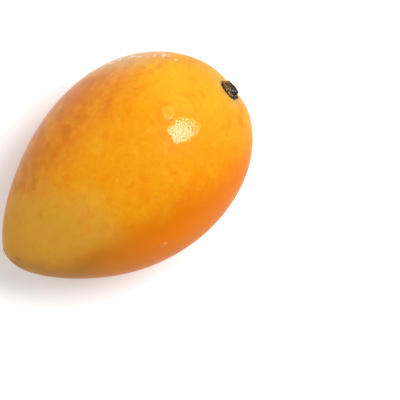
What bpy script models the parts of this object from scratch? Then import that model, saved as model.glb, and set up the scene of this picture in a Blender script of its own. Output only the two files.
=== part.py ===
"""A ripe yellow mango laid down on its cheek, with the dried stump of its stalk.

Metres, +Z up. The fruit's long axis runs along X with the stem at +X, the back of the
fruit is towards +Y, its belly towards -Y, and it rests on the plane Z = 0 on a small flat
spot whose centre is the origin.

The fruit is first drawn in its own frame: X along the axis from the middle of the fruit to
the stem, Y towards the back, Z out through the upper cheek. It is then pitched to the slope
at which it lies still.
"""
import math

import bmesh
import bpy
from mathutils import Matrix, Vector

MM = 0.001

# Size of the fruit between its poles, from back to belly and from cheek to cheek
LENGTH = 117.8 * MM
WIDTH = 79.8 * MM
THICKNESS = 69.4 * MM

# Taper: how much fuller the stem end is than the apex end, how much the two ends are drawn in
# against a plain egg, and the last touch of blunt stem end
STEM_END_FULLER = 0.19
ENDS_DRAWN_IN = 0.107
BLUNT_STEM_END = 0.075

# Sway of the centre line: towards the belly between middle and apex, and towards the back
# between middle and stem
SWAY = 1.8 * MM

# Basin that the stalk stands in, set a little towards the upper cheek and the back, and the
# fuller shoulder on its belly side
BASIN_DEPTH = 3.0 * MM
BASIN_RADIUS = 6.8 * MM
STALK_OFFSET = 3.0 * MM
STALK_SIDE = 0.7 * MM
SHOULDER_HEIGHT = 0.5 * MM
SHOULDER_RADIUS = 9.0 * MM
SHOULDER_SIDE = -7.0 * MM

# Beak at the apex and the small hollow beside it on the belly side
BEAK_HEIGHT = 0.6 * MM
BEAK_RADIUS = 2.6 * MM
BEAK_SIDE = 3.6 * MM
SINUS_DEPTH = 0.9 * MM
SINUS_RADIUS = 2.4 * MM
SINUS_SIDE = -2.2 * MM

# How it lies: slope of the axis, stem end up, and how deep the flat spot is pressed
REST_TILT = math.radians(5.5)
FLAT_DEPTH = 0.5 * MM

# Dried stump: collar, neck and top, measured from the skin of the basin. The collar is rounded
# off at its rim, and the top at its lip, round a small dried hollow
COLLAR_RADIUS = 4.7 * MM
COLLAR_EDGE = 0.5 * MM
COLLAR_UNDERSIDE = 0.92
COLLAR_TOP = 0.93
NECK_RADIUS = 3.5 * MM
NECK_HEIGHT = 1.1 * MM
TOP_RADIUS = 3.2 * MM
TOP_HEIGHT = 3.1 * MM
TOP_LIP = 0.82
TOP_HOLLOW = 0.35 * MM
HOLLOW_FLOOR = 0.4
SEAT_GAP = 0.35 * MM

# Waves in the stump's outline: number of them round it, share of its radius, and turn
OVAL_WAVE = (2, 0.04, 0.0)
RIDGE_WAVE = (3, 0.07, 0.6)
FIBRE_WAVE = (7, 0.05, 2.0)

# Fineness of the two skins
FRUIT_SEGMENTS = 72
FRUIT_RINGS = 48
RING_CROWDING = 0.35
STUB_SEGMENTS = 28
SHARP_BARK = math.radians(40)


def half_width(along):
    """Half of the fruit's width where the polar cosine is `along` (1 at the stem)."""
    taper = 1 + STEM_END_FULLER * along - ENDS_DRAWN_IN * along**2 + BLUNT_STEM_END * along**3
    return WIDTH / 2 * taper


def half_thickness(along):
    """Half of the fruit's thickness there."""
    taper = 1 + STEM_END_FULLER * along - ENDS_DRAWN_IN * along**2
    return THICKNESS / 2 * taper


def sway(along):
    """How far the centre line lies towards the back."""
    return SWAY * (along - along**3)


def dimple(y, z, side_y, side_z, radius):
    """A smooth round dip of depth 1 centred on (side_y, side_z)."""
    distance = math.hypot(y - side_y, z - side_z)
    return math.exp(-(distance / radius) ** 2)


def end_relief(along, y, z):
    """Shift of the skin along X: basin and shoulder at the stem, beak and sinus at the apex."""
    if along > 0:
        basin = BASIN_DEPTH * dimple(y, z, STALK_SIDE, STALK_OFFSET, BASIN_RADIUS)
        shoulder = SHOULDER_HEIGHT * dimple(y, z, SHOULDER_SIDE, 0, SHOULDER_RADIUS)
        return shoulder - basin
    beak = BEAK_HEIGHT * dimple(y, z, BEAK_SIDE, 0, BEAK_RADIUS)
    sinus = SINUS_DEPTH * dimple(y, z, SINUS_SIDE, 0, SINUS_RADIUS)
    return sinus - beak


def fruit_point(polar, around):
    """Point of the skin: polar angle from the stem, angle around from back to upper cheek."""
    along = math.cos(polar)
    across = math.sin(polar)
    y = sway(along) + half_width(along) * across * math.cos(around)
    z = half_thickness(along) * across * math.sin(around)
    x = LENGTH / 2 * along + end_relief(along, y, z)
    return Vector((x, y, z))


def stem_end_skin(y, z):
    """Point of the skin over (y, z) at the stem end."""
    along = 1.0
    for _ in range(12):
        reach = ((y - sway(along)) / half_width(along)) ** 2 + (z / half_thickness(along)) ** 2
        along = math.sqrt(1 - reach)
    return Vector((LENGTH / 2 * along + end_relief(along, y, z), y, z))


def graded(share):
    """Polar angle at a share of the way from stem to apex, with rings crowded at both ends."""
    return math.pi * share - RING_CROWDING * math.sin(2 * math.pi * share)


def plain_material(name, colour, roughness):
    """Principled BSDF material of one colour."""
    material = bpy.data.materials.new(name)
    material.use_nodes = True
    shader = material.node_tree.nodes["Principled BSDF"]
    shader.inputs["Base Color"].default_value = (*colour, 1)
    shader.inputs["Roughness"].default_value = roughness
    shader.inputs["Metallic"].default_value = 0
    material.diffuse_color = (*colour, 1)
    return material


def new_object(name, shape, material, parent):
    """Turn a bmesh into a smooth-shaded object that hangs on the resting frame."""
    bmesh.ops.recalc_face_normals(shape, faces=shape.faces[:])
    mesh = bpy.data.meshes.new(name)
    shape.to_mesh(mesh)
    shape.free()
    mesh.materials.append(material)
    mesh.shade_smooth()
    piece = bpy.data.objects.new(name, mesh)
    bpy.context.collection.objects.link(piece)
    piece.parent = parent
    return piece


def fruit_ball():
    """A ball whose every point is moved to the skin of the fruit."""
    shape = bmesh.new()
    bmesh.ops.create_uvsphere(
        shape, u_segments=FRUIT_SEGMENTS, v_segments=FRUIT_RINGS, radius=1)
    for vertex in shape.verts:
        share = math.acos(max(-1.0, min(1.0, vertex.co.z))) / math.pi
        around = math.atan2(vertex.co.y, vertex.co.x)
        vertex.co = fruit_point(graded(share), around)
    return shape


def press_flat(shape, pitch):
    """Cut the flat spot and return where its centre is once the fruit is pitched."""
    heights = [(pitch @ vertex.co).z for vertex in shape.verts]
    floor = min(heights) + FLAT_DEPTH
    down = pitch.transposed() @ Vector((0, 0, -1))
    cut = bmesh.ops.bisect_plane(
        shape, geom=shape.verts[:] + shape.edges[:] + shape.faces[:], dist=1e-7,
        plane_co=-down * floor, plane_no=down, clear_outer=True)
    rim = [item for item in cut["geom_cut"] if isinstance(item, bmesh.types.BMEdge)]
    bmesh.ops.holes_fill(shape, edges=rim, sides=0)
    for edge in rim:
        edge.smooth = False
    corners = {vertex for edge in rim for vertex in edge.verts}
    lying = [pitch @ vertex.co for vertex in corners]
    middle_x = (min(point.x for point in lying) + max(point.x for point in lying)) / 2
    middle_y = (min(point.y for point in lying) + max(point.y for point in lying)) / 2
    return Vector((middle_x, middle_y, floor))


def wave(around, shape):
    """Height of one of the waves at an angle round the stump."""
    count, share, turn = shape
    return share * math.cos(count * around + turn)


def stump_outline(around, height):
    """Radius factor of the slightly oval stump, ridged above its collar."""
    ridges = wave(around, RIDGE_WAVE) + wave(around, FIBRE_WAVE)
    above_collar = min(1.0, height / NECK_HEIGHT)
    return 1 + wave(around, OVAL_WAVE) + ridges * above_collar


def stalk_seat():
    """Foot of the stalk on the skin, with the directions out of the fruit, sideways and up."""
    foot = stem_end_skin(STALK_SIDE, STALK_OFFSET)
    above = stem_end_skin(STALK_SIDE, STALK_OFFSET + COLLAR_RADIUS)
    below = stem_end_skin(STALK_SIDE, STALK_OFFSET - COLLAR_RADIUS)
    at_back = stem_end_skin(STALK_SIDE + COLLAR_RADIUS, STALK_OFFSET)
    at_belly = stem_end_skin(STALK_SIDE - COLLAR_RADIUS, STALK_OFFSET)
    side = (at_back - at_belly).normalized()
    out = side.cross(above - below).normalized()
    return foot, out, side, out.cross(side)


def stump_row(radius, height, on_skin):
    """Points once round the stump, lying over the basin's skin or level over its foot."""
    foot, out, side, up = stalk_seat()
    row = []
    for index in range(STUB_SEGMENTS):
        around = 2 * math.pi * index / STUB_SEGMENTS
        reach = radius * stump_outline(around, height)
        point = foot + (side * math.cos(around) + up * math.sin(around)) * reach
        if on_skin:
            point = stem_end_skin(point.y, point.z)
        row.append(point + out * (SEAT_GAP + height))
    return row


def stump():
    """Collar that follows the basin, pinched neck, and a top with a dried hollow in it."""
    foot, out, _, _ = stalk_seat()
    hollow_height = TOP_HEIGHT - TOP_HOLLOW
    rows = [
        stump_row(COLLAR_RADIUS / 2, 0, True),
        stump_row(COLLAR_RADIUS * COLLAR_UNDERSIDE, 0, True),
        stump_row(COLLAR_RADIUS, COLLAR_EDGE / 2, True),
        stump_row(COLLAR_RADIUS * COLLAR_TOP, COLLAR_EDGE, True),
        stump_row(NECK_RADIUS, NECK_HEIGHT, False),
        stump_row((NECK_RADIUS + TOP_RADIUS) / 2, (NECK_HEIGHT + TOP_HEIGHT) / 2, False),
        stump_row(TOP_RADIUS, hollow_height, False),
        stump_row(TOP_RADIUS * TOP_LIP, TOP_HEIGHT, False),
        stump_row(TOP_RADIUS * HOLLOW_FLOOR, hollow_height, False),
    ]
    shape = bmesh.new()
    rings = [[shape.verts.new(point) for point in row] for row in rows]
    underside = shape.verts.new(foot + out * SEAT_GAP)
    top = shape.verts.new(foot + out * (SEAT_GAP + hollow_height))
    for index in range(STUB_SEGMENTS):
        after = (index + 1) % STUB_SEGMENTS
        shape.faces.new((underside, rings[0][after], rings[0][index]))
        for low, high in zip(rings, rings[1:]):
            shape.faces.new((low[index], low[after], high[after], high[index]))
        shape.faces.new((rings[-1][index], rings[-1][after], top))
    return shape


def clear_scene():
    for item in list(bpy.data.objects):
        bpy.data.objects.remove(item, do_unlink=True)


def build():
    clear_scene()
    pitch = Matrix.Rotation(-REST_TILT, 3, "Y")
    fruit_shape = fruit_ball()
    flat_spot = press_flat(fruit_shape, pitch)

    resting_frame = bpy.data.objects.new("resting_frame", None)
    bpy.context.collection.objects.link(resting_frame)
    resting_frame.rotation_euler = (0, -REST_TILT, 0)
    resting_frame.location = -flat_spot

    skin = plain_material("mango_skin", (0.86, 0.36, 0.02), 0.38)
    new_object("fruit", fruit_shape, skin, resting_frame)
    bark = plain_material("dried_stalk", (0.035, 0.022, 0.010), 0.8)
    stub = new_object("stem_stub", stump(), bark, resting_frame)
    stub.data.set_sharp_from_angle(angle=SHARP_BARK)


build()
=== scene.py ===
import math
import random

import bmesh
import bpy
from mathutils import Matrix, Vector


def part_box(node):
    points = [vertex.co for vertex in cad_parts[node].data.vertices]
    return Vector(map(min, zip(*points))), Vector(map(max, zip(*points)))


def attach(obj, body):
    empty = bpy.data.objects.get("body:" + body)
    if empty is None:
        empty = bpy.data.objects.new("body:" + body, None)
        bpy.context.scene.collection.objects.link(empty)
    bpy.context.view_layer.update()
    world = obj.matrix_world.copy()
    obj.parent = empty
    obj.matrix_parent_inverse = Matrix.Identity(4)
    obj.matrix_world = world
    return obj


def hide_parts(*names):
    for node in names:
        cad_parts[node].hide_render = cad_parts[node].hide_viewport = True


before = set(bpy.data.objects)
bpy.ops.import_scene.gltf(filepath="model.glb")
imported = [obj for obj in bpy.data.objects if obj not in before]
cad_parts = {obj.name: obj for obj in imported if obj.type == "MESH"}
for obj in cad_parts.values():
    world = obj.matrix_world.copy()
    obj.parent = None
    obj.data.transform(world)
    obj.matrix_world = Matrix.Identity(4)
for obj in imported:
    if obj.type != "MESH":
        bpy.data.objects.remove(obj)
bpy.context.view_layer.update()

MM = 0.001

# The fruit: waxy skin over flesh and seed, grown as one piece. An egg with a fuller stem end,
# a basin round the stalk, a slight beak and a small hollow beside it at the apex. Its own
# weight presses a small flat spot where it lies.
FRUIT_BOX_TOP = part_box("fruit")[1]
STALK_FOOT = Vector((51.1, 0.7, 42.3)) * MM
BEAK_POINT = Vector((-61.6, 3.8, 33.4)) * MM
BLOOM_AND_SHEEN_MIDDLE = Vector((27, 37, 39)) * MM


def node(tree, kind, settings=None, *ordered, **named):
    """Add a node, set its properties and feed its inputs with values, sockets or nodes."""
    made = tree.nodes.new(kind)
    for key, value in (settings or {}).items():
        setattr(made, key, value)
    feeds = [(made.inputs[index], value) for index, value in enumerate(ordered)]
    feeds += [(made.inputs[key], value) for key, value in named.items()]
    for socket, value in feeds:
        if isinstance(value, bpy.types.Node):
            value = value.outputs[0]
        if isinstance(value, bpy.types.NodeSocket):
            tree.links.new(value, socket)
        elif value is not None:
            socket.default_value = value
    return made


def growing_tree(name, sizes):
    """A geometry node tree with one named input for each size, and those inputs."""
    tree = bpy.data.node_groups.new(name, "GeometryNodeTree")
    tree.interface.new_socket("Geometry", in_out="OUTPUT", socket_type="NodeSocketGeometry")
    kinds = {float: "Float", int: "Int", Vector: "Vector",
             bpy.types.Object: "Object", bpy.types.Material: "Material"}
    for label, value in sizes.items():
        tree.interface.new_socket(
            label, in_out="INPUT", socket_type="NodeSocket" + kinds[type(value)])
    return tree, tree.nodes.new("NodeGroupInput").outputs


def grown(name, tree, sizes):
    """Run a tree with its sizes and keep the result as a plain mesh object at the origin."""
    piece = bpy.data.objects.new(name, bpy.data.meshes.new("before_" + name))
    bpy.context.collection.objects.link(piece)
    growth = piece.modifiers.new("growth", "NODES")
    growth.node_group = tree
    for item in tree.interface.items_tree:
        if item.in_out == "INPUT":
            growth[item.identifier] = sizes[item.name]
    ready = piece.evaluated_get(bpy.context.evaluated_depsgraph_get())
    mesh = bpy.data.meshes.new_from_object(ready)
    piece.modifiers.remove(growth)
    piece.data = mesh
    return piece


def hex_colour(code):
    """An sRGB hex colour as the linear colour with alpha that a shader takes."""
    shares = [int(code[place:place + 2], 16) / 255 for place in (1, 3, 5)]
    return (*[s / 12.92 if s <= 0.04045 else ((s + 0.055) / 1.055) ** 2.4 for s in shares], 1)


def blank_material(name):
    """A new material, its tree, its shader and the coordinates that its patterns read."""
    material = bpy.data.materials.new(name)
    material.use_nodes = True
    tree = material.node_tree
    spot = node(tree, "ShaderNodeTexCoord").outputs["Object"]
    return material, tree, tree.nodes["Principled BSDF"], spot


def set_finish(shader, finish):
    """Give a shader's inputs the values that are the same all over a piece."""
    for label, value in finish.items():
        shader.inputs[label].default_value = value


# A mix node's inputs for other kinds of value, which stand before its two colours
OTHER_KINDS = [None] * 5


def mango_skin(name, rough, moist=None, painted_light=None):
    """Waxy skin of a ripe yellow mango, unpolished: gives the satin glow, the yellow stem end,
    the orange belly with orange bounce light painted in, painted shade low on the belly side and
    below the apex, the blush over the back and the fine freckling of pores. A film of moisture
    sets in between two places towards the back, or covers it all where they are left out. Skin
    under water gets painted light: a lighter colour laid on, from one place to another towards the
    back, by a share."""
    material, tree, shader, spot = blank_material(name)

    def tint(below, code, measure, start, end, share=1.0):
        """Colour laid over the one below, from where a measure reaches start, whole at end."""
        shown = node(tree, "ShaderNodeMapRange", {"interpolation_type": "SMOOTHSTEP"},
                     measure, start, end, 0.0, share)
        laid = node(tree, "ShaderNodeMix", {"data_type": "RGBA"},
                    shown, *OTHER_KINDS, below, hex_colour(code))
        return laid.outputs[2]

    # Cloudy patterns between 0 and 1 whose patches are so many millimetres across
    clouds = {}
    for use, across_mm, detail, seed in (
            ("stem drift", 14, 3, 3), ("back drift", 11, 4, 7), ("blush spots", 4, 4, 19),
            ("bloom and sheen edge", 8, 4, 53), ("gloss", 3, 3, 41), ("peel", 0.8, 3, 43)):
        clouds[use] = node(tree, "ShaderNodeTexNoise", {"noise_dimensions": "4D"}, spot,
                           W=seed, Scale=0.5 / (across_mm * MM), Detail=detail, Roughness=0.6)

    # Where on the fruit: towards the stem and towards the back, each with an edge that wanders
    # by so much, and then along slopes that lean from the one to the other
    length, side, _ = node(tree, "ShaderNodeSeparateXYZ", None, spot).outputs
    stemward, backward = [
        node(tree, "ShaderNodeMath", {"operation": "ADD"}, place, node(
            tree, "ShaderNodeMath", {"operation": "MULTIPLY_ADD"},
            clouds[drift], wander, -wander / 2))
        for place, drift, wander in (
            (length, "stem drift", 26 * MM), (side, "back drift", 20 * MM))]
    blush_rise, gold_slope, low_orange_and_shade, apex_olive_and_shade = [
        node(tree, "ShaderNodeMath", {"operation": "MULTIPLY_ADD"}, length, lean, backward)
        for lean in (-0.25, 0.74, 0.15, 0.6)]
    yellow_rise = node(
        tree, "ShaderNodeMath", {"operation": "MULTIPLY_ADD"}, backward, 0.45, stemward)
    apexward = node(
        tree, "ShaderNodeMath", {"operation": "MULTIPLY_ADD"}, length, 1.2, 5 * MM)
    gold_fall = node(
        tree, "ShaderNodeMath", {"operation": "SMOOTH_MAX"}, gold_slope, apexward, 6 * MM)

    # Zones of colour, each laid over those before it, from one place to another in millimetres
    colour = hex_colour("#F39C0A")
    for code, measure, start_mm, end_mm, share in (
            ("#F4B224", yellow_rise, 24, 50, 1.0),  # yellow shoulder beside the stem
            ("#FF8000", backward, -15, -38, 1.0),  # orange belly, partly painted orange bounce light
            ("#F29A18", stemward, 37, 47, 0.5),  # warmer stem end
            ("#EC8E26", blush_rise, 10, 28, 0.85),  # blush over the back
            ("#E2A440", stemward, -20, -38, 0.6),  # duller gold towards the apex
            ("#E9A735", gold_fall, -2, -25, 0.9)):  # plain gold of the cheek below the blush
        colour = tint(colour, code, measure, start_mm * MM, end_mm * MM, share)

    # Patches of deeper and paler colour from 9 mm down to 2 mm, then the grain of the cells,
    # 0.8 mm and so coarser than life, so that it shows
    for code, across_mm, detail, seed, start, end, share in (
            ("#E8700E", 9, 4, 11, 0.56, 0.70, 0.42),
            ("#F9BA22", 7, 4, 17, 0.54, 0.70, 0.36),
            ("#F07C06", 3.4, 4, 23, 0.50, 0.66, 0.34),
            ("#F9BC30", 2.4, 3, 29, 0.52, 0.70, 0.26),
            ("#B8690C", 0.8, 2, 31, 0.46, 0.74, 0.18),
            ("#FFC850", 0.8, 2, 37, 0.52, 0.76, 0.18)):
        mottling = node(tree, "ShaderNodeTexNoise", {"noise_dimensions": "4D"}, spot,
                        W=seed, Scale=0.5 / (across_mm * MM), Detail=detail, Roughness=0.6)
        colour = tint(colour, code, mottling, start, end, share)

    # Deep spots where the blush is full, then the zones on which the mottling is fainter
    blush_spots = node(tree, "ShaderNodeMath", {"operation": "MULTIPLY_ADD"},
                       blush_rise, 12.0, clouds["blush spots"])
    colour = tint(colour, "#CE6A22", blush_spots, 0.74, 0.98, 0.48)
    for code, measure, start_mm, end_mm, share in (
            ("#E5A236", gold_fall, -6, -26, 0.5),  # plain gold again
            ("#DD7802", low_orange_and_shade, -16, -30, 0.85),  # deeper orange skin low on the belly side, partly painted shade
            ("#C4820E", apex_olive_and_shade, -35, -47, 0.8),  # olive skin below the apex, partly painted shade
            ("#FA8400", backward, -21, -35, 0.75)):  # clear orange of the belly, partly painted orange bounce light
        colour = tint(colour, code, measure, start_mm * MM, end_mm * MM, share)

    # Pale waxy bloom in a ragged patch on the back beside the stem, partly a painted sheen for the
    # reflection along the rim
    bloom_and_sheen_reach = node(tree, "ShaderNodeVectorMath", {"operation": "DISTANCE"},
                       spot, BLOOM_AND_SHEEN_MIDDLE).outputs["Value"]
    bloom_and_sheen_edge = node(tree, "ShaderNodeMath", {"operation": "MULTIPLY_ADD"},
                      clouds["bloom and sheen edge"], 22 * MM, bloom_and_sheen_reach)
    colour = tint(colour, "#E2CE96", bloom_and_sheen_edge, 33 * MM, 17 * MM, 0.42)

    # Greenish skin in the basin round the stalk. At the beak: the dry point where the flower's
    # style sat, a brown crease that runs on through the hollow, and an olive stain above it
    for place, code, radius, share in (
            (STALK_FOOT, "#BFA63C", 11.0 * MM, 0.5),
            (BEAK_POINT, "#3A2410", 1.1 * MM, 0.85),
            (BEAK_POINT + Vector((0.3, -5.8, 1.9)) * MM, "#6E4A10", 1.2 * MM, 0.55),
            (BEAK_POINT + Vector((1.1, -7.8, 2.5)) * MM, "#6E4A10", 1.4 * MM, 0.5),
            (BEAK_POINT + Vector((1.9, -9.8, 2.6)) * MM, "#7A5410", 1.3 * MM, 0.4),
            (BEAK_POINT + Vector((3.4, -6.8, 6.2)) * MM, "#8F7412", 1.8 * MM, 0.35)):
        reach = node(tree, "ShaderNodeVectorMath", {"operation": "DISTANCE"},
                     spot, place).outputs["Value"]
        colour = tint(colour, code, reach, radius, 0.4 * radius, share)

    # Pores: brown and pale points about 2.6 mm apart, 0.6 mm across where real ones are half that
    pores = node(tree, "ShaderNodeTexVoronoi", {"voronoi_dimensions": "4D"}, spot,
                 W=2.0, Scale=1 / (2.6 * MM))
    pore_kind = node(tree, "ShaderNodeSeparateColor", None, pores.outputs["Color"])
    pore_dot = node(tree, "ShaderNodeMapRange", {"interpolation_type": "SMOOTHSTEP"},
                    pores.outputs["Distance"], 0.17, 0.07, 0.0, 1.0)
    for code, chance, start, end, share in (
            ("#8A5010", pore_kind.outputs[0], 0.6, 1.0, 0.45),
            ("#FFCC60", pore_kind.outputs[1], 0.5, 1.0, 0.34)):
        picked = node(tree, "ShaderNodeMapRange", None, chance, start, end, 0.0, share)
        strength = node(tree, "ShaderNodeMath", {"operation": "MULTIPLY"}, pore_dot, picked)
        colour = tint(colour, code, strength, 0.0, 1.0)
    # Painted light: skin under water painted towards a lighter colour, for the highlight of the
    # wet patch and the glint of beads
    if painted_light:
        light, lit_from, lit_full, lit_share = painted_light
        colour = tint(colour, light, backward, lit_from, lit_full, lit_share)
    tree.links.new(colour, shader.inputs["Base Color"])

    gloss_drift = 0.2
    uneven_gloss = node(tree, "ShaderNodeMath", {"operation": "MULTIPLY_ADD"},
                        clouds["gloss"], gloss_drift, rough - gloss_drift / 2)
    tree.links.new(uneven_gloss.outputs[0], shader.inputs["Roughness"])
    pitted = node(tree, "ShaderNodeMath", {"operation": "MULTIPLY_ADD"},
                  pore_dot, -0.5, clouds["peel"])
    peel = node(tree, "ShaderNodeBump", None, Strength=0.5, Distance=0.09 * MM, Height=pitted)
    tree.links.new(peel.outputs[0], shader.inputs["Normal"])
    set_finish(shader, {
        "IOR": 1.42, "Specular IOR Level": 0.1, "Subsurface Weight": 0.1,
        "Subsurface Radius": (1.0, 0.35, 0.08), "Subsurface Scale": 3 * MM, "Coat IOR": 1.33})
    if moist:
        # The film of moisture on the back catches the light along the rim
        moisture = node(tree, "ShaderNodeMapRange", {"interpolation_type": "SMOOTHSTEP"},
                        backward, *moist, 0.0, 0.45)
        tree.links.new(moisture.outputs[0], shader.inputs["Coat Weight"])
        set_finish(shader, {"Coat Roughness": 0.22})
    else:
        set_finish(shader, {"Coat Weight": 1.0, "Coat Roughness": 0.15})
    return material


fruit_sizes = {
    "Length": 117.8 * MM,
    "Width": 79.8 * MM,
    "Thickness": 69.4 * MM,
    "Stem End Fuller": 0.19,
    "Ends Drawn In": 0.107,
    "Blunt Stem End": 0.075,
    "Sway": 1.8 * MM,
    "Basin Depth": 3.0 * MM,
    "Basin Radius": 6.8 * MM,
    "Basin Side": Vector((0.7, 3.0, 0)) * MM,
    "Shoulder Height": -0.5 * MM,
    "Shoulder Radius": 9.0 * MM,
    "Shoulder Side": Vector((-7.0, 0, 0)) * MM,
    "Beak Height": -0.6 * MM,
    "Beak Radius": 2.6 * MM,
    "Beak Side": Vector((3.6, 0, 0)) * MM,
    "Sinus Depth": 0.9 * MM,
    "Sinus Radius": 2.4 * MM,
    "Sinus Side": Vector((-2.2, 0, 0)) * MM,
    "Rest Tilt": Vector((0, -math.radians(5.5), 0)),
    "Highest Corner": Vector(FRUIT_BOX_TOP),
    "Segments": 288,
    "Rings": 200,
    "Swell": 0.4 * MM,
    "Swell Size": 30.0 * MM,
    "Skin": mango_skin("ripe_mango_skin", 0.42, moist=(20 * MM, 36 * MM)),
}
form, size = growing_tree("mango_form", fruit_sizes)
ball = node(form, "GeometryNodeMeshUVSphere", None, size["Segments"], size["Rings"], 1.0)
ball_point = node(form, "ShaderNodeSeparateXYZ", None, node(form, "GeometryNodeInputPosition"))
towards_back, towards_cheek, along = ball_point.outputs

# Taper of width and thickness as polynomials of `along`, which is 1 at the stem, -1 at the apex
drawn_in = node(form, "ShaderNodeMath", {"operation": "MULTIPLY"}, along, size["Ends Drawn In"])
fuller = node(
    form, "ShaderNodeMath", {"operation": "SUBTRACT"}, size["Stem End Fuller"], drawn_in)
thick_taper = node(form, "ShaderNodeMath", {"operation": "MULTIPLY_ADD"}, fuller, along, 1.0)
along_cubed = node(form, "ShaderNodeMath", {"operation": "POWER"}, along, 3.0)
wide_taper = node(
    form, "ShaderNodeMath", {"operation": "MULTIPLY_ADD"},
    along_cubed, size["Blunt Stem End"], thick_taper)
bend = node(form, "ShaderNodeMath", {"operation": "SUBTRACT"}, along, along_cubed)
sway = node(form, "ShaderNodeMath", {"operation": "MULTIPLY"}, bend, size["Sway"])


def half_of(share, extent):
    """Half of an extent times the ball's own coordinate."""
    halved = node(form, "ShaderNodeMath", {"operation": "MULTIPLY"}, share, 0.5)
    return node(form, "ShaderNodeMath", {"operation": "MULTIPLY"}, halved, extent)


x = half_of(along, size["Length"])
unswayed_y = node(
    form, "ShaderNodeMath", {"operation": "MULTIPLY"},
    half_of(towards_back, size["Width"]), wide_taper)
y = node(form, "ShaderNodeMath", {"operation": "ADD"}, unswayed_y, sway)
z = node(
    form, "ShaderNodeMath", {"operation": "MULTIPLY"},
    half_of(towards_cheek, size["Thickness"]), thick_taper)

# Basin, shoulder, beak and sinus: round dips and, where less than 0, rises that go into the
# fruit along its axis, each at its own end
across = node(form, "ShaderNodeCombineXYZ", None, y, z, 0.0)
for label, measure, end in (("Basin", " Depth", 1.0), ("Shoulder", " Height", 1.0),
                            ("Beak", " Height", -1.0), ("Sinus", " Depth", -1.0)):
    apart = node(
        form, "ShaderNodeVectorMath", {"operation": "DISTANCE"}, across, size[label + " Side"])
    radii = node(
        form, "ShaderNodeMath", {"operation": "DIVIDE"},
        apart.outputs["Value"], size[label + " Radius"])
    radii_squared = node(form, "ShaderNodeMath", {"operation": "MULTIPLY"}, radii, radii)
    fall = node(form, "ShaderNodeMath", {"operation": "MULTIPLY"}, radii_squared, -1.0)
    dip = node(form, "ShaderNodeMath", {"operation": "EXPONENT"}, fall)
    deep = node(form, "ShaderNodeMath", {"operation": "MULTIPLY"}, dip, size[label + measure])
    this_end = node(
        form, "ShaderNodeMath", {"operation": "GREATER_THAN"},
        node(form, "ShaderNodeMath", {"operation": "MULTIPLY"}, along, end), 0.0)
    inward = node(form, "ShaderNodeMath", {"operation": "MULTIPLY"}, this_end, -end)
    x = node(form, "ShaderNodeMath", {"operation": "MULTIPLY_ADD"}, deep, inward, x)
shaped = node(
    form, "GeometryNodeSetPosition", None, ball, True,
    node(form, "ShaderNodeCombineXYZ", None, x, y, z))

# Laid at its rest tilt with its box's highest corner where the solid's is
pitched = node(form, "GeometryNodeTransform", None, shaped, Rotation=size["Rest Tilt"])
pitched_top = node(form, "GeometryNodeBoundBox", None, pitched).outputs["Max"]
lift = node(
    form, "ShaderNodeVectorMath", {"operation": "SUBTRACT"}, size["Highest Corner"], pitched_top)
laid = node(form, "GeometryNodeTransform", None, pitched, Translation=lift)

# Slow swells of the living form, then the flat spot pressed where it lies
here = node(form, "GeometryNodeInputPosition")
swells = node(
    form, "ShaderNodeTexNoise", None, here, Detail=1.0, Roughness=0.4,
    Scale=node(form, "ShaderNodeMath", {"operation": "DIVIDE"}, 1.0, size["Swell Size"]))
swell = node(form, "ShaderNodeMath", {"operation": "SUBTRACT"}, swells, 0.5)
swell_height = node(form, "ShaderNodeMath", {"operation": "MULTIPLY"}, swell, size["Swell"])
outward = node(
    form, "ShaderNodeVectorMath", {"operation": "SCALE"},
    node(form, "GeometryNodeInputNormal"), Scale=swell_height)
swollen = node(form, "GeometryNodeSetPosition", None, laid, Offset=outward)
lying = node(form, "ShaderNodeSeparateXYZ", None, here)
pressed_z = node(
    form, "ShaderNodeMath", {"operation": "MAXIMUM"}, lying.outputs["Z"], 0.0)
pressed = node(
    form, "GeometryNodeSetPosition", None, swollen, True,
    node(form, "ShaderNodeCombineXYZ", None, lying.outputs["X"], lying.outputs["Y"], pressed_z))
smooth = node(form, "GeometryNodeSetShadeSmooth", None, pressed)
skinned = node(
    form, "GeometryNodeSetMaterial", None,
    node(form, "GeometryNodeRealizeInstances", None, smooth), Material=size["Skin"])
node(form, "NodeGroupOutput", None, skinned)

fruit = grown("mango_fruit", form, fruit_sizes)
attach(fruit, "root")
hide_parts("fruit")

# The wet patch: a thin film of water that lies in a pool and a few lobes on the upper cheek. It
# wets the pits of the skin, so it has the skin's own colours, painted a little yellower as a
# painted highlight, and its ripples break up the highlight.
film_sizes = {
    "Fruit": fruit,
    "Thickness": 0.06 * MM,
    "Sunk Rim": 0.02 * MM,
    "Ragged Rim": 0.8,
    "Rim Lobe Size": 1.9 * MM,
    "Full Within": 0.82,
    "Dry Below": 0.002,
    "Cut Out Within": 1.9,
    "Lobes Melt Over": 0.3,
    "Ripple": 0.07 * MM,
    "Ripple Size": 0.9 * MM,
    "Wet Skin": mango_skin("wet_mango_skin", 0.36, painted_light=("#FFCE3A", -30 * MM, -20 * MM, 0.28)),
    "Pool": Vector((29.0, -1.9, 66.9)) * MM,
    "Pool Radius": 5.3 * MM,
    "Stem Lobe": Vector((32.3, -3.2, 65.4)) * MM,
    "Stem Lobe Radius": 3.7 * MM,
    "Apex Lobe": Vector((25.6, 0.2, 68.0)) * MM,
    "Apex Lobe Radius": 2.6 * MM,
    "Low Lobe": Vector((24.6, -3.2, 68.1)) * MM,
    "Low Lobe Radius": 2.1 * MM,
    "Second Patch": Vector((28.1, 7.4, 66.7)) * MM,
    "Second Patch Radius": 2.8 * MM,
}
film, size = growing_tree("wet_film", film_sizes)
film_here = node(film, "GeometryNodeInputPosition")

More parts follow.
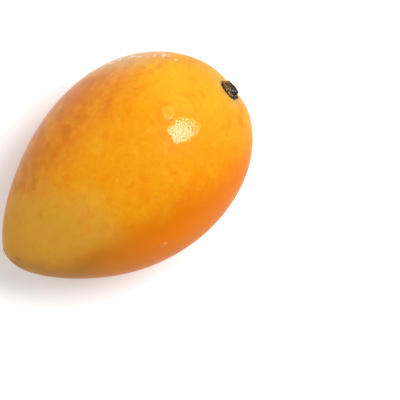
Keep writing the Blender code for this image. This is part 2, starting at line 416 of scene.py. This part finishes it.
# How many radii away the nearest lobe's middle is, which is far as long as there is no lobe
nearness = 9.0
for label in ("Pool", "Stem Lobe", "Apex Lobe", "Low Lobe", "Second Patch"):
    away = node(film, "ShaderNodeVectorMath", {"operation": "DISTANCE"}, film_here, size[label])
    radii = node(film, "ShaderNodeMath", {"operation": "DIVIDE"},
                 away.outputs["Value"], size[label + " Radius"])
    nearness = node(film, "ShaderNodeMath", {"operation": "SMOOTH_MIN"},
                    radii, nearness, size["Lobes Melt Over"])
fruit_skin = node(film, "GeometryNodeObjectInfo", {"transform_space": "RELATIVE"}, size["Fruit"])
far_off = node(film, "FunctionNodeCompare", {"operation": "GREATER_THAN"},
               nearness, size["Cut Out Within"])
around_it = node(film, "GeometryNodeDeleteGeometry", {"domain": "POINT"},
                 fruit_skin.outputs["Geometry"], far_off)
fine_skin = node(film, "GeometryNodeSubdivisionSurface", None, around_it, 3)
ragged = node(
    film, "ShaderNodeTexNoise", None, film_here, Detail=3.0,
    Scale=node(film, "ShaderNodeMath", {"operation": "DIVIDE"}, 1.0, size["Rim Lobe Size"]))
raggedness = node(film, "ShaderNodeMath", {"operation": "MULTIPLY"},
                  node(film, "ShaderNodeMath", {"operation": "SUBTRACT"}, ragged, 0.5),
                  size["Ragged Rim"])
rim_reach = node(film, "ShaderNodeMath", {"operation": "ADD"}, nearness, raggedness)
fullness = node(film, "ShaderNodeMapRange", {"interpolation_type": "SMOOTHSTEP"},
                rim_reach, 1.0, size["Full Within"], 0.0, 1.0)
ripple_scale = node(film, "ShaderNodeMath", {"operation": "DIVIDE"}, 1.0, size["Ripple Size"])
cells = node(film, "ShaderNodeTexVoronoi", {"feature": "SMOOTH_F1"}, film_here,
             Scale=ripple_scale, Smoothness=0.4)
swirl = node(film, "ShaderNodeTexNoise", None, film_here, Scale=ripple_scale, Detail=2.0)
rippled = node(film, "ShaderNodeMath", {"operation": "ADD"}, cells, swirl)
ripples = node(film, "ShaderNodeMath", {"operation": "MULTIPLY_ADD"},
               rippled, size["Ripple"], size["Thickness"])
above_skin = node(film, "ShaderNodeMath", {"operation": "MULTIPLY"}, fullness, ripples)
film_height = node(film, "ShaderNodeMath", {"operation": "SUBTRACT"}, above_skin, size["Sunk Rim"])
raised_film = node(
    film, "GeometryNodeSetPosition", None, fine_skin, Offset=node(
        film, "ShaderNodeVectorMath", {"operation": "SCALE"},
        node(film, "GeometryNodeInputNormal"), Scale=film_height))
dry = node(film, "FunctionNodeCompare", {"operation": "LESS_THAN"}, fullness, size["Dry Below"])
trimmed = node(film, "GeometryNodeDeleteGeometry", {"domain": "FACE"}, raised_film, dry)
wetted = node(
    film, "GeometryNodeSetMaterial", None,
    node(film, "GeometryNodeRealizeInstances", None,
         node(film, "GeometryNodeSetShadeSmooth", None, trimmed)), Material=size["Wet Skin"])
node(film, "NodeGroupOutput", None, wetted)
wet_patch = grown("wet_patch", film, film_sizes)
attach(wet_patch, "root")

# Water beads: a row of small ones that cling to the back below the stem, and a single larger
# drop low on the belly side. Each is a flat dome seated on the skin in the skin's own colours,
# wet, and painted pale towards the back as a painted glint.
ROW_START = Vector((19.0, 38.5, 44.0)) * MM
ROW_END = Vector((43.0, 24.0, 48.0)) * MM
ROW_SPREAD = 1.6 * MM
ROW_BEADS = 22
BEAD_RADII = (0.3, 0.65)
LONE_DROP = Vector((-5.5, -33.1, 53.4)) * MM
LONE_DROP_RADIUS = 1.2 * MM


def spots_mesh(name, spots):
    """Points with the radius of what goes on each, as a mesh without faces."""
    mesh = bpy.data.meshes.new(name)
    mesh.from_pydata([place for place, _ in spots], [], [])
    radii = mesh.attributes.new("spot_radius", "FLOAT", "POINT")
    radii.data.foreach_set("value", [radius for _, radius in spots])
    spots_object = bpy.data.objects.new(name, mesh)
    bpy.context.collection.objects.link(spots_object)
    return spots_object


draw = random.Random(11)
bead_spots = [(LONE_DROP, LONE_DROP_RADIUS)]
for count in range(ROW_BEADS):
    share = (count + draw.random()) / ROW_BEADS
    scatter = Vector([draw.uniform(-ROW_SPREAD, ROW_SPREAD) for _ in range(3)])
    bead_spots.append((ROW_START.lerp(ROW_END, share) + scatter, draw.uniform(*BEAD_RADII) * MM))
bead_spots_object = spots_mesh("bead_spots", bead_spots)
bead_sizes = {
    "Fruit": fruit,
    "Spots": bead_spots_object,
    "Bead Form": Vector((1.5, 0.85, 0.5)),
    "Row Direction": (ROW_END - ROW_START).normalized(),
    "Segments": 20,
    "Rings": 12,
    "Wet Skin": mango_skin("beaded_mango_skin", 0.36, painted_light=("#FFEBD2", -42 * MM, 20 * MM, 0.7)),
}
beads, size = growing_tree("water_beads", bead_sizes)
on_fruit = node(beads, "GeometryNodeObjectInfo", {"transform_space": "RELATIVE"}, size["Fruit"])
loose_spots = node(
    beads, "GeometryNodeObjectInfo", {"transform_space": "RELATIVE"}, size["Spots"])
spot_points = node(beads, "GeometryNodeMeshToPoints", None, loose_spots.outputs["Geometry"])
touching = node(beads, "GeometryNodeProximity", {"target_element": "FACES"},
                on_fruit.outputs["Geometry"])
facing = node(beads, "GeometryNodeSampleNearestSurface", {"data_type": "FLOAT_VECTOR"},
              on_fruit.outputs["Geometry"], node(beads, "GeometryNodeInputNormal"))
upright = node(beads, "FunctionNodeAlignRotationToVector", {"axis": "Z"}, Vector=facing)
lengthened = node(beads, "FunctionNodeAlignRotationToVector", {"axis": "X", "pivot_axis": "Z"},
                  upright, Vector=size["Row Direction"])
bead_radius = node(
    beads, "GeometryNodeInputNamedAttribute", {"data_type": "FLOAT"}, "spot_radius")
seated = node(beads, "GeometryNodeSetPosition", None, spot_points, True, touching)
drop_form = node(beads, "GeometryNodeMeshUVSphere", None, size["Segments"], size["Rings"], 1.0)
flat_drop = node(beads, "GeometryNodeTransform", None, drop_form, Scale=size["Bead Form"])
placed = node(
    beads, "GeometryNodeInstanceOnPoints", None, seated, Instance=flat_drop,
    Rotation=lengthened, Scale=bead_radius)
wet_beads = node(
    beads, "GeometryNodeSetMaterial", None,
    node(beads, "GeometryNodeSetShadeSmooth", None,
         node(beads, "GeometryNodeRealizeInstances", None, placed)), Material=size["Wet Skin"])
node(beads, "NodeGroupOutput", None, wet_beads)
water_beads = grown("water_beads", beads, bead_sizes)
bpy.data.objects.remove(bead_spots_object)
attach(water_beads, "root")

# The dried stump of the stalk: a flared collar of olive cork round a blackened, fibrous stub,
# left where the fruit broke off, with dark scabs of dried sap round its foot. It is the solid's
# own form, refined, wrinkled and split.
STALK_OUT = Vector((0.971, 0.054, 0.231)).normalized()
SCAB_RING = 4.8 * MM
SCAB_TURNS_AND_RADII = (
    (40, 0.8), (57, 0.7), (118, 0.7), (140, 0.6), (215, 0.9), (262, 0.7), (330, 0.6))
MERGED_WITHIN = 0.01 * MM
JOINED_WITHIN_ANGLE = 0.7


def dried_stalk():
    """Dead woody tissue, air dried: matt black top with grey fibre ends over an olive-brown
    corky collar, their paler fibre ends partly painted glints."""
    material, tree, shader, spot = blank_material("dried_stalk_bark")

    # Fibre 0.8 mm apart, two or three times as coarse as life, so that it shows, and lumps of
    # cork 2.2 mm across
    fibre = node(tree, "ShaderNodeTexNoise", None, spot,
                 Scale=1 / (0.8 * MM), Detail=5.0, Roughness=0.75)
    lumps = node(tree, "ShaderNodeTexNoise", None, spot, Scale=1 / (2.2 * MM), Detail=3.0)
    worn_and_glint = node(tree, "ShaderNodeMapRange", {"interpolation_type": "SMOOTHSTEP"},
                fibre, 0.50, 0.62, 0.0, 1.0)
    charred = node(tree, "ShaderNodeAttribute", {"attribute_name": "charred"}).outputs["Fac"]
    edge = node(tree, "ShaderNodeMath", {"operation": "ADD"}, charred, lumps)
    black = node(tree, "ShaderNodeMapRange", {"interpolation_type": "SMOOTHSTEP"},
                 edge, 0.64, 0.86, 0.0, 1.0)
    # Cork and char, each with its worn, paler colour on raised fibres, partly a painted glint
    # there
    shades = [node(tree, "ShaderNodeMix", {"data_type": "RGBA"}, worn_and_glint, *OTHER_KINDS,
                   hex_colour(code), hex_colour(worn_and_glint_code)).outputs[2]
              for code, worn_and_glint_code in (("#5E4210", "#CDB47C"), ("#060402", "#94868A"))]
    colour = node(tree, "ShaderNodeMix", {"data_type": "RGBA"}, black, *OTHER_KINDS, *shades)
    tree.links.new(colour.outputs[2], shader.inputs["Base Color"])
    splits = node(tree, "ShaderNodeBump", None, Strength=0.9, Distance=0.3 * MM, Height=fibre)
    tree.links.new(splits.outputs[0], shader.inputs["Normal"])
    set_finish(shader, {"Roughness": 0.75, "IOR": 1.45, "Specular IOR Level": 0.25})
    return material


def merged_copy(node_name):
    """A solid's mesh with its doubles merged, as a new object."""
    shape = bmesh.new()
    shape.from_mesh(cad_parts[node_name].data)
    bmesh.ops.remove_doubles(shape, verts=shape.verts[:], dist=MERGED_WITHIN)
    bmesh.ops.join_triangles(
        shape, faces=shape.faces[:], angle_face_threshold=JOINED_WITHIN_ANGLE,
        angle_shape_threshold=JOINED_WITHIN_ANGLE)
    mesh = bpy.data.meshes.new(node_name + "_merged")
    shape.to_mesh(mesh)
    shape.free()
    copy = bpy.data.objects.new(node_name + "_merged", mesh)
    bpy.context.collection.objects.link(copy)
    return copy


stub_source = merged_copy("stem_stub")
ring_side = STALK_OUT.cross((0, 0, 1)).normalized()
ring_top = ring_side.cross(STALK_OUT)
scab_spots = []
for turn, radius_mm in SCAB_TURNS_AND_RADII:
    angle = math.radians(turn)
    on_ring = SCAB_RING * (math.cos(angle) * ring_side + math.sin(angle) * ring_top)
    scab_spots.append((STALK_FOOT + on_ring, radius_mm * MM))
scab_spots_object = spots_mesh("scab_spots", scab_spots)
stub_sizes = {
    "Solid": stub_source,
    "Fruit": fruit,
    "Foot": STALK_FOOT,
    "Out": STALK_OUT,
    "Charred Towards": Vector((0.9, -0.33, 0.04)),
    "Charred From": 1.55 * MM,
    "Refinement": 3,
    "Wrinkle": 0.9 * MM,
    "Wrinkle Size": 1.9 * MM,
    "Fibre": 0.35 * MM,
    "Fibre Size": 0.6 * MM,
    "Stands Out Above": 0.56,
    "Scab Spots": scab_spots_object,
    "Scab Form": Vector((1.3, 0.7, 0.5)),
    "Scab Charred": 0.75,
    "Bark": dried_stalk(),
}
stub_tree, size = growing_tree("dried_stump", stub_sizes)
solid = node(
    stub_tree, "GeometryNodeObjectInfo", {"transform_space": "RELATIVE"}, size["Solid"])
refined = node(stub_tree, "GeometryNodeSubdivisionSurface", None,
               solid.outputs["Geometry"], size["Refinement"])
stub_here = node(stub_tree, "GeometryNodeInputPosition")
from_foot = node(
    stub_tree, "ShaderNodeVectorMath", {"operation": "SUBTRACT"}, stub_here, size["Foot"])
rise = node(stub_tree, "ShaderNodeVectorMath", {"operation": "DOT_PRODUCT"},
            from_foot, size["Charred Towards"])
past_cork = node(stub_tree, "ShaderNodeMath", {"operation": "DIVIDE"},
                 rise.outputs["Value"], size["Charred From"])
burnt = node(stub_tree, "ShaderNodeMapRange", {"interpolation_type": "SMOOTHSTEP"},
             past_cork, 1.0, 1.5, 0.0, 1.0)
rough_form = node(stub_tree, "GeometryNodeStoreNamedAttribute", {"data_type": "FLOAT"},
                  refined, Name="charred", Value=burnt)
for label, detail in (("Wrinkle", 2.0), ("Fibre", 3.0)):
    scale = node(
        stub_tree, "ShaderNodeMath", {"operation": "DIVIDE"}, 1.0, size[label + " Size"])
    noise = node(stub_tree, "ShaderNodeTexNoise", None, stub_here, Scale=scale, Detail=detail)
    raised = node(stub_tree, "ShaderNodeMath", {"operation": "SUBTRACT"},
                  noise, size["Stands Out Above"])
    height = node(stub_tree, "ShaderNodeMath", {"operation": "MULTIPLY"}, raised, size[label])
    shift = node(
        stub_tree, "ShaderNodeVectorMath", {"operation": "SCALE"},
        node(stub_tree, "GeometryNodeInputNormal"), Scale=height)
    rough_form = node(stub_tree, "GeometryNodeSetPosition", None, rough_form, Offset=shift)

# Scabs: small flat lumps, longer than wide, that point away from the collar's foot and are
# bedded in the skin
scab_points = node(stub_tree, "GeometryNodeMeshToPoints", None, node(
    stub_tree, "GeometryNodeObjectInfo", {"transform_space": "RELATIVE"},
    size["Scab Spots"]).outputs["Geometry"])
to_skin = node(stub_tree, "GeometryNodeProximity", {"target_element": "FACES"}, node(
    stub_tree, "GeometryNodeObjectInfo", {"transform_space": "RELATIVE"},
    size["Fruit"]).outputs["Geometry"])
bedded = node(stub_tree, "GeometryNodeSetPosition", None, scab_points, True, to_skin)
outwards = node(
    stub_tree, "FunctionNodeAlignRotationToVector", {"axis": "Z"}, Vector=size["Out"])
pointed = node(stub_tree, "FunctionNodeAlignRotationToVector", {"axis": "X", "pivot_axis": "Z"},
               outwards, Vector=from_foot)
lump = node(stub_tree, "GeometryNodeTransform", None, node(
    stub_tree, "GeometryNodeMeshIcoSphere", None, 1.0, 3), Scale=size["Scab Form"])
scab_radius = node(
    stub_tree, "GeometryNodeInputNamedAttribute", {"data_type": "FLOAT"}, "spot_radius")
scabs = node(stub_tree, "GeometryNodeInstanceOnPoints", None, bedded, Instance=lump,
             Rotation=pointed, Scale=scab_radius)
loose_scabs = node(stub_tree, "GeometryNodeRealizeInstances", None, scabs)
dark_scabs = node(stub_tree, "GeometryNodeStoreNamedAttribute", {"data_type": "FLOAT"},
                  loose_scabs, Name="charred", Value=size["Scab Charred"])
whole = node(stub_tree, "GeometryNodeJoinGeometry")
for part in (dark_scabs, rough_form):
    stub_tree.links.new(part.outputs[0], whole.inputs[0])
barked = node(
    stub_tree, "GeometryNodeSetMaterial", None,
    node(stub_tree, "GeometryNodeRealizeInstances", None, whole), Material=size["Bark"])
smooth_stump = node(stub_tree, "GeometryNodeSetShadeSmooth", None, barked)
node(stub_tree, "NodeGroupOutput", None, smooth_stump)
stub = grown("dried_stalk_stump", stub_tree, stub_sizes)
bpy.data.objects.remove(stub_source)
bpy.data.objects.remove(scab_spots_object)
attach(stub, "root")
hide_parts("stem_stub")

# The stage: a plain white surface, a softbox over the stem end, a weaker one over the back and
# an even white room. The surface is glossy laminate, pressed smooth: gives a bright floor with a
# faint sheen, and its glow keeps the shadow pale, as light from all round a lit table does.
bpy.ops.mesh.primitive_plane_add(size=8.0, location=(0, 0, -0.05 * MM))
surface = bpy.context.object
surface.name = "white_surface"
laminate, _, laminate_shader, _ = blank_material("white_gloss_laminate")
set_finish(laminate_shader, {
    "Base Color": hex_colour("#F9F9FA"), "Roughness": 0.35,
    "Emission Color": (1, 1, 1, 1), "Emission Strength": 0.24})
surface.data.materials.append(laminate)

room = bpy.data.worlds.new("white_room")
room.use_nodes = True
set_finish(room.node_tree.nodes["Background"], {"Color": (1, 1, 1, 1), "Strength": 0.32})
bpy.context.scene.world = room

FRUIT_MIDDLE = Vector((-4.3, 0.0, 34.0)) * MM
for name, lean, turn, distance, side_length, watts in (
        ("softbox", 33, -8, 1.8, 0.68, 26),
        ("fill", 48, 118, 1.6, 1.0, 3.5)):
    glow = bpy.data.lights.new(name, "AREA")
    glow.shape = "SQUARE"
    glow.size = side_length
    glow.energy = watts
    lamp = bpy.data.objects.new(name, glow)
    lamp.rotation_euler = (0, math.radians(lean), math.radians(turn))
    lamp.location = FRUIT_MIDDLE + lamp.rotation_euler.to_matrix().col[2] * distance
    bpy.context.collection.objects.link(lamp)

# The camera looks down on the upper cheek, leaned a little towards the stem and turned so that
# the stem is at the upper right of the frame
VIEW_LEAN = math.radians(3.5)
VIEW_TURN = math.radians(36.475)
VIEW_DISTANCE = 750 * MM
FRAME_WIDTH = 164 * MM
FRAME_PAST_FRUIT = Vector((32.53, -10.47)) * MM
SENSOR_WIDTH = 36
lengthwise = Vector((math.cos(VIEW_LEAN), 0, -math.sin(VIEW_LEAN)))
sideways = Vector((0, 1, 0))
right = math.cos(VIEW_TURN) * lengthwise - math.sin(VIEW_TURN) * sideways
up = math.sin(VIEW_TURN) * lengthwise + math.cos(VIEW_TURN) * sideways
towards = right.cross(up)
target = FRUIT_MIDDLE + FRAME_PAST_FRUIT.x * right + FRAME_PAST_FRUIT.y * up
camera_data = bpy.data.cameras.new("camera")
camera_data.sensor_width = SENSOR_WIDTH
camera_data.lens = SENSOR_WIDTH * VIEW_DISTANCE / FRAME_WIDTH
camera_data.clip_start = 10 * MM
camera = bpy.data.objects.new("camera", camera_data)
camera.matrix_world = Matrix.Translation(target + towards * VIEW_DISTANCE) @ Matrix(
    (right, up, towards)).transposed().to_4x4()
bpy.context.collection.objects.link(camera)
bpy.context.scene.camera = camera
bpy.context.scene.view_settings.view_transform = "Standard"
